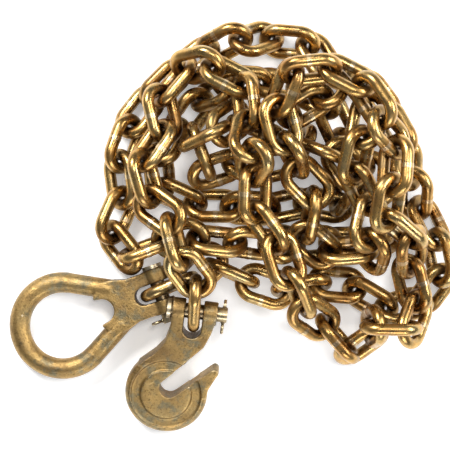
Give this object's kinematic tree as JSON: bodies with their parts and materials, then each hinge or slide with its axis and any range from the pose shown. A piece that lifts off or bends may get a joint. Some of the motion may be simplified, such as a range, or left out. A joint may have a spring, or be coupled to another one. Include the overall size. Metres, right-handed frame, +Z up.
{
  "type": "safety chain with grab hook and pear link",
  "caption": "Heaped welded-link safety chain ending in a clevis grab hook and a clevis pear link, for securing a load or a trailer.",
  "frame": {"origin": "bottom centre of the bounding box, on the surface the chain rests on", "axes": "+Z up, +X toward the far side of the heap from the pear link, +Y away from the hook"},
  "size_m": [0.3012, 0.276, 0.0983],
  "materials": {
    "chain_zinc": "yellow zinc plated, glossy, darker in recesses",
    "forged_zinc": "yellow zinc plated over a forged surface, satin",
    "pin_zinc": "yellow zinc plated pins, worn"
  },
  "bodies": {
    "heap": {"heap_links_01": "chain_zinc", "heap_links_02": "chain_zinc", "heap_links_03": "chain_zinc", "heap_links_04": "chain_zinc", "heap_links_05": "chain_zinc", "heap_links_06": "chain_zinc", "heap_links_07": "chain_zinc", "heap_links_08": "chain_zinc", "heap_links_09": "chain_zinc", "heap_links_10": "chain_zinc", "heap_links_11": "chain_zinc", "heap_links_12": "chain_zinc", "heap_links_13": "chain_zinc", "heap_links_14": "chain_zinc", "heap_links_15": "chain_zinc", "heap_links_16": "chain_zinc", "heap_links_17": "chain_zinc", "heap_links_18": "chain_zinc", "heap_links_19": "chain_zinc", "heap_links_20": "chain_zinc", "heap_links_21": "chain_zinc", "heap_links_22": "chain_zinc", "heap_links_23": "chain_zinc", "heap_links_24": "chain_zinc", "heap_links_25": "chain_zinc", "heap_links_26": "chain_zinc", "heap_links_27": "chain_zinc", "heap_links_28": "chain_zinc", "heap_links_29": "chain_zinc", "heap_links_30": "chain_zinc", "heap_links_31": "chain_zinc", "heap_links_32": "chain_zinc", "heap_links_33": "chain_zinc", "heap_links_34": "chain_zinc", "heap_links_35": "chain_zinc", "heap_links_36": "chain_zinc"},
    "hook_end_link_3": {"hook_end_link_3": "chain_zinc"},
    "hook_end_link_2": {"hook_end_link_2": "chain_zinc"},
    "hook_end_link_1": {"hook_end_link_1": "chain_zinc"},
    "grab_hook": {"grab_hook": "forged_zinc"},
    "grab_hook_pin": {"grab_hook_pin": "pin_zinc", "grab_hook_cotter": "pin_zinc"},
    "pear_end_link": {"pear_end_link": "chain_zinc"},
    "pear_link": {"pear_link": "forged_zinc"},
    "pear_link_pin": {"pear_link_pin": "pin_zinc", "pear_link_cotter": "pin_zinc"}
  },
  "joints": [
    {"name": "hook_end_link_3_swing", "type": "hinge", "parent": "heap", "child": "hook_end_link_3", "pos_m": [-0.04124, 0.00627, 0.0514], "axis": [0.4611, 0.0227, -0.8871], "range_deg": [-6, 0]},
    {"name": "hook_end_link_2_swing", "type": "hinge", "parent": "hook_end_link_3", "child": "hook_end_link_2", "pos_m": [-0.0347, -0.01728, 0.05552], "axis": [-0.9053, -0.2981, -0.3025], "range_deg": [0, 8]},
    {"name": "hook_end_link_1_swing", "type": "hinge", "parent": "hook_end_link_2", "child": "hook_end_link_1", "pos_m": [-0.02278, -0.03586, 0.04435], "axis": [0.04, -0.4869, 0.8725], "range_deg": [-1, 2]},
    {"name": "grab_hook_swing", "type": "hinge", "parent": "hook_end_link_1", "child": "grab_hook", "pos_m": [-0.02396, -0.05664, 0.03095], "axis": [0.9915, -0.1302, 0], "range_deg": [-60, 0]},
    {"name": "grab_hook_pin_spin", "type": "hinge", "parent": "grab_hook", "child": "grab_hook_pin", "pos_m": [-0.02396, -0.05664, 0.03095], "axis": [0.9915, -0.1302, 0], "continuous": true},
    {"name": "pear_end_link_swing", "type": "hinge", "parent": "heap", "child": "pear_end_link", "pos_m": [-0.03413, -0.03794, 0.01444], "axis": [0.3869, -0.9195, 0.0699], "range_deg": [0, 10]},
    {"name": "pear_link_swing", "type": "hinge", "parent": "pear_end_link", "child": "pear_link", "pos_m": [-0.04704, -0.04333, 0.01502], "axis": [0.3391, -0.9408, 0], "range_deg": [-40, 0]},
    {"name": "pear_link_pin_spin", "type": "hinge", "parent": "pear_link", "child": "pear_link_pin", "pos_m": [-0.04704, -0.04333, 0.01502], "axis": [0.3391, -0.9408, 0], "range_deg": [-20, 0]}
  ]
}
